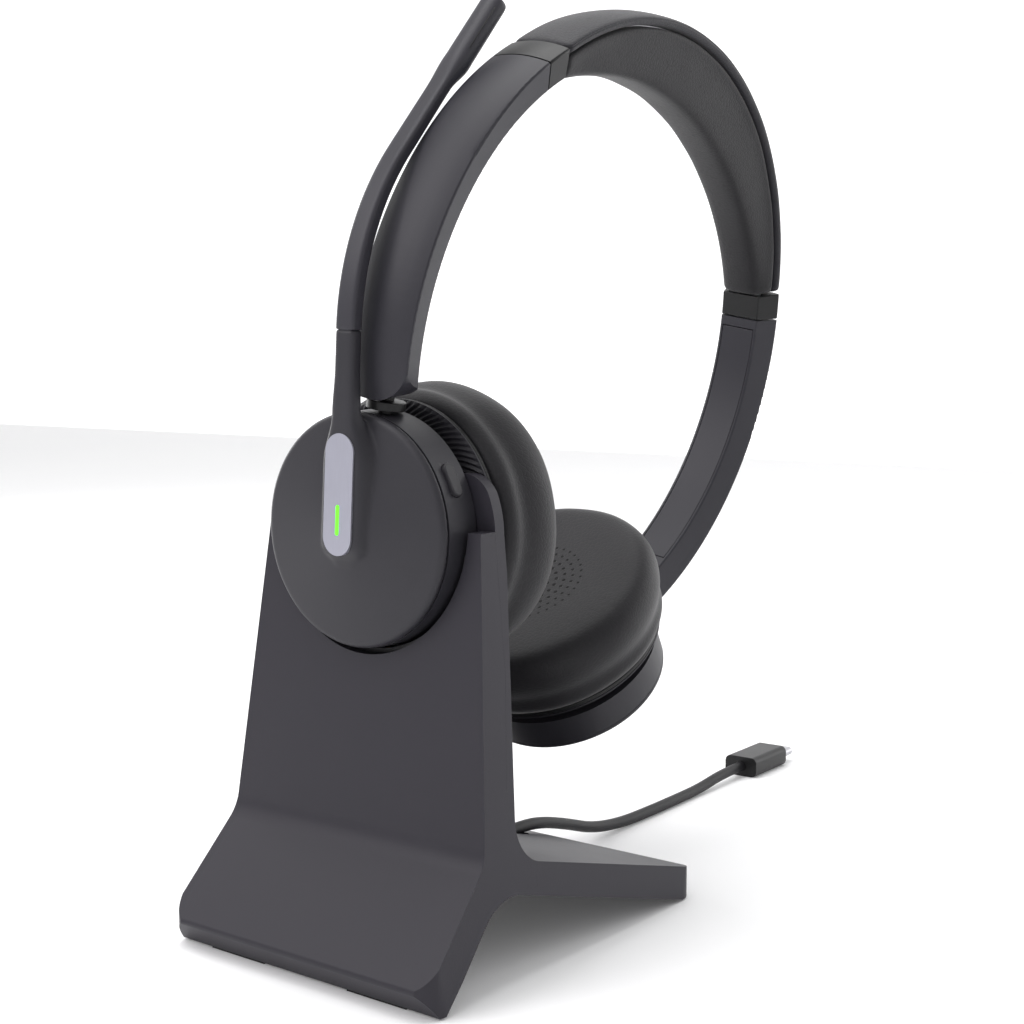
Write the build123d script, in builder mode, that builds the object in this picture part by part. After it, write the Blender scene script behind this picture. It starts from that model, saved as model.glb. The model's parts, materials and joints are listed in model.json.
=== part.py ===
"""An on-ear office headset with a boom microphone, docked on its charging stand.

Millimetres, +Z up, the stand's front towards -Y, resting on Z = 0.
The origin is at the bottom centre of the whole object's box, its lead left out.
"""
from build123d import *
from math import cos, hypot, pi, radians, sin, tan
import os

os.makedirs("parts", exist_ok=True)

# ---------------------------------------------------------------- driving dimensions
# Where things stand
disc_y = -67.36           # front disc of the docked ear cup; the stand is centred on X = 0
cup_height = 92.0         # axis of the docked ear cup above the table
lean = 10.2               # the headset leans over sideways, about the docked cup's axis

# Fits
run_gap = 0.25            # between faces that slide or turn past each other
seat_gap = 0.1            # round a piece that sits in a recess
shaft_gap = 0.05          # radial, round a turning shaft

# Ear cups, by depth from the outer disc towards the ear
disc_radius = 25.0
rim_radius = 25.4         # the housing widens a little towards the ear
cover_depth = 1.6
cone_height = 3.0         # the outer disc is a shallow cone
housing_depth = 10.0
wall = 1.6
neck_radius = 19.3
neck_depth = 14.2         # where the cushion plate starts
plate_radius = 27.4
plate_depth = 15.4
cushion_radius = 30.6
cushion_depth = 34.0
cushion_hole = 12.5
face_dish = 1.6           # the cloth over the speaker sits this far below the cushion's face
speaker_radius = 15.8
speaker_depth = 17.0
magnet_radius = 8.5
magnet_depth = 10.6
cell_size = (24.0, 20.0, 4.2)
board_radius = 18.0

# Swivels at the top of the cups
pivot_up = 27.8           # top of the swivel collar above the cup's axis
pivot_in = 5.6            # the swivel's depth from the outer disc
pin_radius = 1.6
collar_radius = 4.2
collar_height = 1.9

# Headband: everything on it follows one circle, so the arms can slide along it
arc_radius = 72.6         # middle of the arms
arc_bearing = 8.3         # from the left swivel to the circle's centre, above level
arc_sweep = 252.0         # from the left swivel to the right one
cup_tilt = 54.7           # the right cup's axis above level
cup_twist = -5.4          # the right cup turned on its swivel
arm_thick = 6.8
ridge_half = 8.2          # half width at the outer ridge
inner_half = 5.6          # half width at the inner face
crown = 1.2               # the outer face bulges this much past its ridges
band_middle = 122.5       # where the padded part is centred along the sweep
cap_reach = 58.2          # from there to the far edge of each end cap
cap_angle = 5.2
arm_slack = 0.6           # the arm's lower end stops this short of the swivel, in degrees
arm_gap = 0.3             # between an arm and its end cap, in degrees
skin_thick = 1.8          # radial, of the arm's inner cover
rail_thick = 1.2
rail_half = 4.5
rail_hold = 15.0          # rail inside the arm, in degrees
rail_reach = 27.0         # rail inside the padded part, in degrees
cover_seat = 1.9          # the band's outer cover reaches this far below its ridges
spring_thick = 0.6
spring_half = 4.8
pad_drop = 0.8            # the pad's ends are this much thicker than the arms
pad_swell = 7.4           # and its middle this much thicker than its ends
pad_bevel = 1.6
cover_rise = 2.8          # the cover's middle stands this far proud of the arms' circle

# Boom microphone
boom_tilt = 3.2           # parked angle from upright
boom_half = 2.6
boom_thick = 3.2
boom_depth = -3.0         # middle of the straight lower arm, by depth from the outer disc
boom_root = 6.1
boom_knee = 42.0          # the joint line, where the arm starts to follow the head
boom_bend = 58.0          # radius of that bend
boom_turn = 40.0          # and its angle
boom_reach = 26.0         # from the bend to the microphone capsule
capsule_length = 20.0
capsule_half = 3.2
capsule_thick = 4.8
slit_half = 1.0
clip_thick = 1.0
axle_radius = 4.0
status_length = 25.6
status_width = 7.8
status_thick = 0.8
light_length = 6.4
light_width = 0.9

# Call button on the rim
button_angle = 53.0       # from upright, towards +X
button_depth = 5.6
button_size = (7.4, 3.0)
button_lip = 0.5

# Stand, by its side view (distance behind the front disc, height)
foot_half = 37.3
crease_half = 35.9
panel_half = 30.0
toe = (-20.3, 5.9)        # top edge of the front foot
heel = (78.6, 6.8)        # top edge of the rear foot
crease = (-0.6, 27.1)
panel_top = (5.7, 92.8)
back_root = (9.6, 25.5)
back_knee = (13.4, 84.0)
toe_sole = (-16.0, -14.4)  # the front foot's narrow sole
heel_sole = (72.6, 78.7)
apex = (3.7, 19.9)        # inner corner under the stand, before rounding
joint_y = 16.3            # where the rear foot meets the body
plate_front = 10.4        # front of the plate that stands up between cup and cushion
plate_low = 40.0          # lower edge of the back plate
pad_height = 1.2
pad_proud = 0.4
corner_radius = 6.0
pocket_gap = 0.3
liner_thick = 0.9
slot_half = 20.5          # the neck drops into a slot this wide
horn_height = 12.4
pin_spacing = 7.0         # degrees between charging pins
pin_size = 0.6
weight_thick = 2.4
sole_thick = 0.8

# Lead
lead_x = -7.8             # from the stand's centre plane
lead_radius = 1.5
slot_width = 6.0
plug_size = (10.6, 20.0, 6.0)
tip_size = (8.3, 6.6, 2.5)

# ---------------------------------------------------------------- frames
dock = Vector(0, disc_y, cup_height)
inward = Vector(0, 1, 0)
up = Vector(sin(radians(lean)), 0, cos(radians(lean)))
side = inward.cross(up)                      # across the band, towards +X


def along(bearing):
    """The direction at a bearing above level, in the headband's plane."""
    return inward * cos(radians(bearing)) + up * sin(radians(bearing))


left_pivot = dock + inward * pivot_in + up * pivot_up
arc_centre = left_pivot + along(arc_bearing) * arc_radius
arc_axis = Axis(arc_centre, -side)           # turning about it goes from the left arm over the top


def section(angle):
    """The plane across the headband, by its angle from the left swivel: x outwards, y broadside."""
    bearing = arc_bearing + 180 - angle
    return Plane(arc_centre, x_dir=along(bearing), z_dir=along(bearing - 90))


right_pivot = arc_centre + section(arc_sweep).x_dir * arc_radius
right_up = inward * sin(radians(cup_tilt)) + up * cos(radians(cup_tilt))
right_in = (inward * -cos(radians(cup_tilt)) + up * sin(radians(cup_tilt))).rotate(
    Axis((0, 0, 0), right_up), cup_twist
)


def cup_frame(origin, upright, depth_dir):
    return Plane(origin, x_dir=upright.cross(depth_dir), z_dir=depth_dir)


right_origin = right_pivot - right_up * pivot_up - right_in * pivot_in
cups = {"left": cup_frame(dock, up, inward), "right": cup_frame(right_origin, right_up, right_in)}
pivots = {"left": left_pivot, "right": right_pivot}


def turned(cup, outline, name):
    """A round piece from its outline of (radius, depth) points."""
    with BuildPart() as piece:
        with BuildSketch(Plane(cup.origin, x_dir=cup.y_dir, z_dir=cup.x_dir)):
            with BuildLine():
                Polyline(*outline, close=True)
            make_face()
        revolve(axis=Axis(cup.origin, cup.z_dir))
    piece.part.label = name
    return piece.part


def save(piece, name):
    piece.label = name
    export_step(piece, f"parts/{name}.step")


# ---------------------------------------------------------------- ear cups
housing_start = cover_depth + run_gap
floor_depth = housing_start + wall
bore = rim_radius - wall - 0.2
plate_seat = housing_depth - 1.2
flange_start = rim_radius - wall - 1.0       # radius under which the swivel's flange sits
speaker_bore = speaker_radius + 0.2

button_dir = up * cos(radians(button_angle)) + side * sin(radians(button_angle))
button_plane = Plane(
    dock + inward * button_depth + button_dir * rim_radius,
    x_dir=button_dir.cross(inward),
    z_dir=button_dir,
)
contact_angles = [-pin_spacing, 0, pin_spacing]


def below_cup(angle, reach):
    """A plane looking down out of the docked cup's rim, where the charging contacts are."""
    down = Vector(sin(radians(angle)), 0, -cos(radians(angle)))
    contact_depth = 7.6
    return Plane(dock + inward * contact_depth + down * reach, x_dir=(0, 1, 0), z_dir=down)


for name, cup in cups.items():
    swivel = Plane(pivots[name], x_dir=cup.x_dir, z_dir=cup.y_dir)

    with BuildPart() as housing:
        add(turned(cup, [
            (0, housing_start), (disc_radius, housing_start), (rim_radius, housing_depth),
            (bore, housing_depth), (bore, floor_depth), (0, floor_depth),
        ], "housing"))
        with BuildSketch(swivel.offset(-pivot_up + bore - 2)):
            Circle(pin_radius + shaft_gap)
        extrude(amount=pivot_up, mode=Mode.SUBTRACT)
        if name == "left":
            with BuildSketch(cup):
                Circle(axle_radius + shaft_gap)
            extrude(amount=floor_depth + 1, mode=Mode.SUBTRACT)
            with BuildSketch(button_plane.offset(-wall - 1.5)):
                SlotOverall(button_size[0] + 2 * seat_gap, button_size[1] + 2 * seat_gap)
            extrude(amount=wall + 3, mode=Mode.SUBTRACT)
            for angle in contact_angles:
                with BuildSketch(below_cup(angle, bore - 1)):
                    Circle(pin_size + 0.3 + seat_gap)
                extrude(amount=wall + 3, mode=Mode.SUBTRACT)
    save(housing.part, f"{name}_housing")

    save(turned(cup, [
        (17.0, plate_seat), (bore - seat_gap, plate_seat), (bore - seat_gap, housing_depth),
        (neck_radius, housing_depth), (neck_radius, neck_depth), (plate_radius, neck_depth),
        (plate_radius, plate_depth), (speaker_bore, plate_depth), (speaker_bore, neck_depth),
        (17.0, neck_depth),
    ], "baffle"), f"{name}_baffle")
    save(turned(cup, [
        (neck_radius + 0.3, neck_depth - 0.5), (plate_radius, neck_depth - 0.5),
        (plate_radius, neck_depth), (neck_radius + 0.3, neck_depth),
    ], "mesh_ring"), f"{name}_mesh_ring")
    save(turned(cup, [
        (speaker_radius + 1.4, plate_depth), (plate_radius, plate_depth),
        (cushion_radius - 0.6, plate_depth + 3.2), (cushion_radius, plate_depth + 7),
        (cushion_radius, cushion_depth - 7), (cushion_radius - 1.4, cushion_depth - 2.6),
        (plate_radius, cushion_depth), (cushion_hole + 2, cushion_depth - 0.6),
        (cushion_hole, cushion_depth - face_dish), (cushion_hole, speaker_depth + 0.3),
        (speaker_radius + 1.4, speaker_depth + 0.3),
    ], "cushion"), f"{name}_cushion")
    save(turned(cup, [
        (0, cushion_depth - face_dish - 0.8), (cushion_hole - seat_gap, cushion_depth - face_dish - 0.8),
        (cushion_hole - seat_gap, cushion_depth - face_dish), (0, cushion_depth - face_dish),
    ], "scrim"), f"{name}_scrim")
    save(turned(cup, [
        (0, neck_depth + 0.1), (speaker_radius, neck_depth + 0.1), (speaker_radius, speaker_depth),
        (speaker_radius - 2, speaker_depth), (0, speaker_depth - 1.2),
    ], "speaker"), f"{name}_speaker")
    save(turned(cup, [
        (0, magnet_depth), (magnet_radius, magnet_depth), (magnet_radius, neck_depth + 0.1),
        (0, neck_depth + 0.1),
    ], "magnet"), f"{name}_magnet")

    # Swivel pin: a flange inside the rim, a collar outside it, and the top that the arm holds
    with BuildPart() as stub:
        with BuildSketch(swivel.offset(-pivot_up + flange_start - 1.2)):
            Circle(pin_radius + 0.5)
        extrude(amount=1.0)
        with BuildSketch(swivel.offset(-pivot_up + flange_start - 1.2)):
            Circle(pin_radius)
        extrude(amount=pivot_up - flange_start + 1.2 + 5)
        with BuildSketch(swivel.offset(-collar_height)):
            Circle(collar_radius)
        extrude(amount=collar_height)
    save(stub.part, f"{name}_swivel_pin")

left = cups["left"]
right = cups["right"]

save(turned(right, [
    (0, -cone_height), (disc_radius - 1.0, 0), (disc_radius, 0.8), (disc_radius, housing_start),
    (0, housing_start),
], "cover"), "right_cover")

with BuildPart() as battery:
    with BuildSketch(right.offset(floor_depth + 0.3)):
        RectangleRounded(cell_size[0], cell_size[1], 2)
    extrude(amount=cell_size[2])
save(battery.part, "battery")

with BuildPart() as board:
    with BuildSketch(left.offset(plate_seat - 2.2)):
        Circle(board_radius)
    extrude(amount=1.2)
save(board.part, "main_board")

with BuildPart() as button:
    with BuildSketch(button_plane.offset(-wall - 1.5)):
        SlotOverall(*button_size)
    extrude(amount=wall + 1.5 + button_lip)
    fillet(button.faces().sort_by(Axis(button_plane.origin, button_dir))[-1].edges(), 0.3)
    with BuildSketch(button_plane.offset(-wall - 2.1)):
        SlotOverall(button_size[0] + 1.2, button_size[1] + 1.2)
    extrude(amount=0.6)
save(button.part, "call_button")

with BuildPart() as contacts:
    for angle in contact_angles:
        with BuildSketch(below_cup(angle, bore - 0.6)):
            Circle(pin_size + 0.3)
        extrude(amount=wall + 0.4)
save(contacts.part, "charge_contacts")

# ---------------------------------------------------------------- boom
boom_up = Vector(sin(radians(boom_tilt)), 0, cos(radians(boom_tilt)))
boom_right = inward.cross(boom_up)
boom_side = Plane(dock, x_dir=inward, z_dir=boom_right)      # x depth, y up the boom
boom_front = Plane(dock, x_dir=boom_right, z_dir=inward * -1)  # x right, y up the boom

save(turned(left, [
    (0, -cone_height), (disc_radius - 1.0, 0), (disc_radius, 0.8), (disc_radius, cover_depth),
    (0, cover_depth),
], "disc"), "boom_disc")

with BuildPart() as axle:
    with BuildSketch(left.offset(cover_depth)):
        Circle(axle_radius)
    extrude(amount=floor_depth + clip_thick + 0.6 - cover_depth)
save(axle.part, "boom_axle")

with BuildPart() as clip:
    with BuildSketch(left.offset(floor_depth + run_gap)):
        Circle(axle_radius + 2)
        Circle(axle_radius, mode=Mode.SUBTRACT)
    extrude(amount=clip_thick)
save(clip.part, "boom_clip")

arm_back = boom_depth + boom_thick / 2
plate_front_depth = boom_depth - boom_thick / 2

with BuildPart() as lower_arm:
    with BuildSketch(boom_side):
        with BuildLine():
            Polyline(
                (plate_front_depth, -boom_root), (plate_front_depth, boom_knee), (arm_back, boom_knee),
                (arm_back, disc_radius), (cover_depth, disc_radius - 2), (cover_depth, -boom_root),
                close=True,
            )
        make_face()
    extrude(amount=disc_radius, both=True)
    with BuildSketch(boom_front.offset(-disc_radius)):
        with BuildLine():
            Polyline(
                (-boom_half, boom_knee), (-boom_half, disc_radius + 4), (-status_width / 2 - 0.9, disc_radius - 6),
                (-status_width / 2 - 0.9, -boom_root), (status_width / 2 + 0.9, -boom_root),
                (status_width / 2 + 0.9, disc_radius - 6), (boom_half, disc_radius + 4),
                (boom_half, boom_knee), close=True,
            )
        make_face()
    extrude(amount=2 * disc_radius, mode=Mode.INTERSECT)
    # The disc's cone is cut out of the arm's back, so that the arm seats on it
    add(turned(left, [
        (0, -cone_height), (disc_radius - 1.0, 0), (disc_radius, 0.8), (disc_radius, 6), (0, 6),
    ], "seat"), mode=Mode.SUBTRACT)
    with BuildSketch(boom_front.offset(-plate_front_depth)):
        with Locations((0, status_length / 2 - boom_root + 1.2)):
            SlotOverall(status_length + 2 * seat_gap, status_width + 2 * seat_gap, rotation=90)
    extrude(amount=-status_thick, mode=Mode.SUBTRACT)
save(lower_arm.part, "boom_lower_arm")

status_middle = status_length / 2 - boom_root + 1.2
light_middle = status_middle - 5.3
with BuildPart() as status_plate:
    with BuildSketch(boom_front.offset(-plate_front_depth - status_thick)):
        with Locations((0, status_middle)):
            SlotOverall(status_length, status_width, rotation=90)
        with Locations((0, light_middle)):
            SlotOverall(light_length + 0.1, light_width + 0.1, rotation=90, mode=Mode.SUBTRACT)
    extrude(amount=status_thick + 0.15)
save(status_plate.part, "status_plate")

with BuildPart() as status_light:
    with BuildSketch(boom_front.offset(-plate_front_depth - status_thick)):
        with Locations((0, light_middle)):
            SlotOverall(light_length, light_width, rotation=90)
    extrude(amount=status_thick + 0.2)
save(status_light.part, "status_light")

with BuildPart() as upper_arm:
    with BuildSketch(boom_side):
        with BuildLine():
            bend = JernArc(
                start=(boom_depth, boom_knee), tangent=(0, 1), radius=boom_bend, arc_size=-boom_turn
            )
            reach = PolarLine(start=bend @ 1, length=boom_reach, angle=90 - boom_turn)
        trace(line_width=boom_thick)
    extrude(amount=boom_half, both=True)
    fillet(upper_arm.edges().filter_by(lambda e: e.length > 20), 0.9)
save(upper_arm.part, "boom_upper_arm")

boom_end = boom_side.from_local_coords(reach @ 1)
tip_plane = Plane(boom_end, x_dir=boom_right, z_dir=boom_end - boom_side.from_local_coords(reach @ 0))
slit_plane = Plane(tip_plane.origin, x_dir=tip_plane.z_dir, z_dir=boom_right)
with BuildPart() as capsule:
    with BuildSketch(tip_plane):
        RectangleRounded(2 * capsule_half, capsule_thick, 1.2)
    extrude(amount=capsule_length)
    fillet(capsule.faces().sort_by(Axis(tip_plane.origin, tip_plane.z_dir))[-1].edges(), 1.0)
    with BuildSketch(slit_plane.offset(capsule_half - 0.8)):
        with Locations((capsule_length / 2, 0)):
            SlotOverall(capsule_length - 6, 2 * slit_half + 2 * seat_gap)
    extrude(amount=2, mode=Mode.SUBTRACT)
save(capsule.part, "mic_capsule")

with BuildPart() as grille:
    with BuildSketch(slit_plane.offset(capsule_half - 0.8)):
        with Locations((capsule_length / 2, 0)):
            SlotOverall(capsule_length - 6 - 2 * seat_gap, 2 * slit_half)
    extrude(amount=0.5)
save(grille.part, "mic_grille")

# ---------------------------------------------------------------- headband
ridge_radius = arc_radius + arm_thick / 2
inner_radius = arc_radius - arm_thick / 2
cover_radius = ridge_radius - cover_seat
rail_low = inner_radius + skin_thick
rail_high = rail_low + rail_thick
pad_radius = inner_radius - pad_drop
arm_angles = {
    "left": (arm_slack, band_middle - cap_reach - arm_gap),
    "right": (band_middle + cap_reach + arm_gap, arc_sweep - arm_slack),
}
cap_angles = {
    "left": (band_middle - cap_reach, band_middle - cap_reach + cap_angle),
    "right": (band_middle + cap_reach - cap_angle, band_middle + cap_reach),
}
band_angles = (cap_angles["left"][1], cap_angles["right"][0])


def half_at(radius):
    """Half the width of the headband's section at a radius."""
    share = (radius - inner_radius) / arm_thick
    return inner_half + (ridge_half - inner_half) * share


def shifted(angle, shift):
    """The section plane at an angle, about a centre shifted towards the band's middle."""
    own = section(angle)
    return Plane(own.origin + section(band_middle).x_dir * shift, x_dir=own.x_dir, z_dir=own.z_dir)


def shifted_axis(shift):
    return Axis(arc_axis.position + section(band_middle).x_dir * shift, arc_axis.direction)


def bowed(end_radius, middle_radius):
    """Shift and radius of the circle through the band's two ends and its middle."""
    half_span = radians((band_angles[1] - band_angles[0]) / 2)
    shift = (end_radius**2 - middle_radius**2) / (2 * (end_radius * cos(half_span) - middle_radius))
    return shift, middle_radius - shift


def bar(angles, low, high, half, shift=0.0):
    """A strip of rectangular section along the headband's circle."""
    with BuildPart() as strip:
        with BuildSketch(shifted(angles[0], shift)):
            with Locations(((low + high) / 2, 0)):
                Rectangle(high - low, 2 * half)
        revolve(axis=shifted_axis(shift), revolution_arc=angles[1] - angles[0])
    return strip.part


def crowned(angles, low, shift=0.0, ridge=ridge_radius):
    """The headband's own section from a radius up to its crowned outer face."""
    low_half = half_at(low + ridge_radius - ridge)
    with BuildPart() as band:
        with BuildSketch(shifted(angles[0], shift)) as face:
            with BuildLine():
                Polyline((ridge, -ridge_half), (low, -low_half), (low, low_half), (ridge, ridge_half))
                ThreePointArc((ridge, ridge_half), (ridge + crown, 0), (ridge, -ridge_half))
            make_face()
            fillet(face.vertices(), 0.5)
        revolve(axis=shifted_axis(shift), revolution_arc=angles[1] - angles[0])
    return band.part


for name, (start, end) in arm_angles.items():
    top_end, low_end = (end, start) if name == "left" else (start, end)
    away = 1 if name == "left" else -1           # from the swivel end along the arm
    hollow = sorted((low_end + away * 10, top_end - away * 2))
    skin = sorted((low_end + away * 10.2, top_end - away * 2.2))
    rail = sorted((top_end - away * rail_hold, top_end + away * rail_reach))
    end_plane = Plane(
        arc_centre + section(low_end).x_dir * (inner_radius - 5),
        x_dir=side,
        z_dir=section(low_end).x_dir,
    )
    pin_plane = Plane(pivots[name], x_dir=side, z_dir=cups[name].y_dir)

    with BuildPart() as arm:
        add(crowned((start, end), inner_radius))
        add(bar(hollow, inner_radius - 2, rail_high + 0.6, half_at(inner_radius) - 0.7), mode=Mode.SUBTRACT)
        add(bar(sorted((top_end - away * 4, top_end + away)), rail_low - seat_gap, rail_high + seat_gap,
                rail_half + seat_gap), mode=Mode.SUBTRACT)
        with BuildSketch(end_plane):
            with Locations((0, away * ridge_half / 2 - away)):
                Rectangle(2 * ridge_half + 2, ridge_half + 2)
            with Locations((0, away * ridge_half)):
                Circle(ridge_half, mode=Mode.SUBTRACT)
                Rectangle(2 * ridge_half + 4, 1, mode=Mode.SUBTRACT)
        extrude(amount=arm_thick + 12, mode=Mode.SUBTRACT)
        with BuildSketch(pin_plane):
            Circle(pin_radius)
        extrude(amount=5, mode=Mode.SUBTRACT)
    save(arm.part, f"{name}_arm")
    save(bar(skin, inner_radius, rail_low, half_at(inner_radius) - 0.8), f"{name}_arm_skin")
    save(bar(rail, rail_low, rail_high, rail_half), f"{name}_slide_rail")

    with BuildPart() as cap:
        add(crowned(cap_angles[name], inner_radius))
        slot = (cap_angles[name][0] - 1, cap_angles[name][1] + 1)
        add(bar(slot, rail_low - run_gap, rail_high + run_gap, rail_half + run_gap), mode=Mode.SUBTRACT)
    save(cap.part, f"{name}_end_cap")

trim = 10                    # the bowed pieces are drawn this far past both ends, in degrees, then trimmed
wide_angles = (band_angles[0] - trim, band_angles[1] + trim)
cover_shift, bow_ridge = bowed(ridge_radius, ridge_radius + cover_rise)
pad_shift, pad_bow = bowed(pad_radius, pad_radius - pad_swell)
bow_seat = bow_ridge - cover_seat
wedge = bar(band_angles, arc_radius / 2, arc_radius * 1.5, 2 * ridge_half)
with BuildPart() as cover:
    add(crowned(wide_angles, bow_seat, cover_shift, bow_ridge))
    add(wedge, mode=Mode.INTERSECT)
save(cover.part, "band_cover")
save(bar((band_angles[0] + 1, band_angles[1] - 1), bow_seat - spring_thick, bow_seat, spring_half, cover_shift),
     "band_spring")

pad_side = bow_seat - (cover_radius - inner_radius)        # below here the pad's sides are upright
pad_depth = arm_thick * 4                                  # more than the pad's thickness anywhere
pad_deep = bow_seat - pad_depth
with BuildPart() as pad:
    with BuildSketch(shifted(wide_angles[0], cover_shift)):
        Polygon(
            (pad_deep, -inner_half), (pad_side, -inner_half), (bow_seat, -half_at(cover_radius)),
            (bow_seat, half_at(cover_radius)), (pad_side, inner_half), (pad_deep, inner_half), align=None,
        )
    revolve(axis=shifted_axis(cover_shift), revolution_arc=wide_angles[1] - wide_angles[0])
    with BuildPart(mode=Mode.PRIVATE) as inside:
        with BuildSketch(shifted(wide_angles[0], pad_shift)):
            flare = inner_half - pad_bevel + pad_depth
            Polygon(
                (pad_bow, -inner_half + pad_bevel), (pad_bow + pad_depth, -flare),
                (pad_bow + pad_depth, flare), (pad_bow, inner_half - pad_bevel), align=None,
            )
        revolve(axis=shifted_axis(pad_shift), revolution_arc=wide_angles[1] - wide_angles[0])
    add(inside.part, mode=Mode.INTERSECT)
    add(wedge, mode=Mode.INTERSECT)
    add(bar((band_angles[0] - 1, band_angles[1] + 1), rail_low - run_gap, ridge_radius + cover_rise,
            spring_half + run_gap), mode=Mode.SUBTRACT)
save(pad.part, "band_pad")

# ---------------------------------------------------------------- stand
stand_side = Plane((0, disc_y, 0), x_dir=(0, 1, 0), z_dir=(1, 0, 0))   # x depth, y height
stand_front = Plane((0, disc_y, 0), x_dir=(1, 0, 0), z_dir=(0, -1, 0))  # x right, y height
stand_plan = Plane((0, disc_y, 0), x_dir=(1, 0, 0), z_dir=(0, 0, 1))   # x right, y depth
reach_out = 200.0
horn_top = cup_height + horn_height
pocket_radius = rim_radius + pocket_gap + liner_thick
plate_back = back_knee[0]


def block(plane, outline, amount, both=False):
    """An outline pushed out from its plane."""
    with BuildPart() as piece:
        with BuildSketch(plane):
            Polygon(*outline, align=None)
        extrude(amount=amount, both=both)
    return piece.part


with BuildPart() as whole_stand:
    with BuildSketch(stand_side) as face:
        Polygon(
            (toe_sole[0], pad_proud), (toe_sole[1], pad_proud), apex, (heel_sole[0], pad_proud),
            (heel_sole[1], pad_proud), heel, back_root, back_knee, (plate_back, horn_top),
            (plate_front, horn_top), (plate_front, panel_top[1]), panel_top, crease, toe, align=None,
        )
        for corner, radius in ((crease, 9), (back_root, 10), (apex, 12), (toe, 1.2), (heel, 1.2)):
            fillet(face.vertices().sort_by_distance((*corner, 0))[0], radius)
    extrude(amount=foot_half, both=True)
    with BuildSketch(stand_front.offset(-reach_out)) as face:
        with BuildLine():
            right_edge = Polyline(
                (0, 0), (foot_half, 0), (foot_half, toe[1]), (crease_half, crease[1]), (panel_half, cup_height)
            )
            ThreePointArc((panel_half, cup_height), (panel_half - 0.6, cup_height + 5), (28.2, cup_height + 8.6))
            ThreePointArc((28.2, cup_height + 8.6), (25.2, cup_height + 11.6), (slot_half, horn_top))
            Line((slot_half, horn_top), (0, horn_top))
            mirror(about=Plane.YZ)
        make_face()
    extrude(amount=2 * reach_out, mode=Mode.INTERSECT)
    with BuildSketch(stand_plan):
        with Locations((0, (toe[0] + heel_sole[1]) / 2)):
            RectangleRounded(2 * foot_half, heel_sole[1] - toe[0], corner_radius)
    extrude(amount=horn_top, mode=Mode.INTERSECT)
    for radius, depth_from, depth_to in ((pocket_radius, toe[0], plate_front), (slot_half, 0, plate_back + 1)):
        with BuildSketch(stand_front.offset(-depth_to)):
            with Locations((0, cup_height)):
                Circle(radius)
            with Locations((0, cup_height + reach_out / 2)):
                Rectangle(2 * radius, reach_out)
        extrude(amount=depth_to - depth_from, mode=Mode.SUBTRACT)

back_region = [
    (plate_front, horn_top + 10), (plate_front, cup_height - pocket_radius - 2), (8.0, plate_low),
    (plate_back + 20, plate_low), (plate_back + 20, horn_top + 10),
]
rear_region = [(joint_y, -1), (joint_y, plate_low - 1), (heel_sole[1] + 5, plate_low - 1), (heel_sole[1] + 5, -1)]
pin_reach = rim_radius + pocket_gap
board_top = cup_height - pin_reach - 6.4
board_low = 45.0
board_y = 6.0
screw_places = [(-18, 46), (18, 46), (-21, 60), (21, 60)]


def under_plane(first, last, share):
    """A plane on the stand's underside, between two points of its side view, facing out."""
    length = hypot(last[0] - first[0], last[1] - first[1])
    run = ((last[0] - first[0]) / length, (last[1] - first[1]) / length)
    place = (first[0] + run[0] * share, first[1] + run[1] * share)
    return Plane((0, disc_y + place[0], place[1]), x_dir=(1, 0, 0), z_dir=(0, run[1], -run[0]))


leg_planes = {
    "front": (under_plane((toe_sole[1], pad_proud), apex, 9.5), (56, 13)),
    "rear": (under_plane(apex, (heel_sole[0], pad_proud), 28), (56, 22)),
}


def cut_leg(leg):
    """The recess for a weight and its sole."""
    plane, size = leg_planes[leg]
    with BuildPart() as recess:
        with BuildSketch(plane.offset(-weight_thick - sole_thick)):
            RectangleRounded(size[0] + 2 * seat_gap, size[1] + 2 * seat_gap, 2)
        extrude(amount=weight_thick + sole_thick + 3)
    return recess.part


pads = {
    "front": [((x, (toe_sole[0] + toe_sole[1]) / 2), (16, 1.2)) for x in (-20, 20)],
    "rear": [((x, heel_sole[1] - 3.2), (14, 3.6)) for x in (-22, 22)],
}

with BuildPart() as stand_body:
    add(whole_stand.part)
    add(block(stand_side, back_region, reach_out, both=True), mode=Mode.SUBTRACT)
    add(block(stand_side, rear_region, reach_out, both=True), mode=Mode.SUBTRACT)
    with BuildSketch(stand_side):
        with Locations((board_y + 5, (board_low + board_top) / 2)):
            Rectangle(13, board_top - board_low + 2)
    extrude(amount=14, both=True, mode=Mode.SUBTRACT)
    for angle in contact_angles:
        with BuildSketch(below_cup(angle, pin_reach - 1)):
            Circle(pin_size + shaft_gap)
        extrude(amount=8, mode=Mode.SUBTRACT)
    with BuildSketch(stand_front.offset(-plate_front)):
        with Locations(*screw_places):
            Circle(1.0)
    extrude(amount=5, mode=Mode.SUBTRACT)
    add(cut_leg("front"), mode=Mode.SUBTRACT)
    with BuildSketch(stand_plan):
        for place, size in pads["front"]:
            with Locations(place):
                Rectangle(*size)
    extrude(amount=pad_height, mode=Mode.SUBTRACT)
save(stand_body.part, "stand_body")

with BuildPart() as back_plate:
    add(whole_stand.part)
    add(block(stand_side, back_region, reach_out, both=True), mode=Mode.INTERSECT)
    with BuildSketch(stand_front.offset(-plate_back - 5)):
        with Locations(*screw_places):
            Circle(1.25)
    extrude(amount=20, mode=Mode.SUBTRACT)
    with BuildSketch(stand_front.offset(-plate_back - 5)):
        with Locations(*screw_places):
            Circle(2.4)
    extrude(amount=6.2, mode=Mode.SUBTRACT)
save(back_plate.part, "back_plate")

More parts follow.
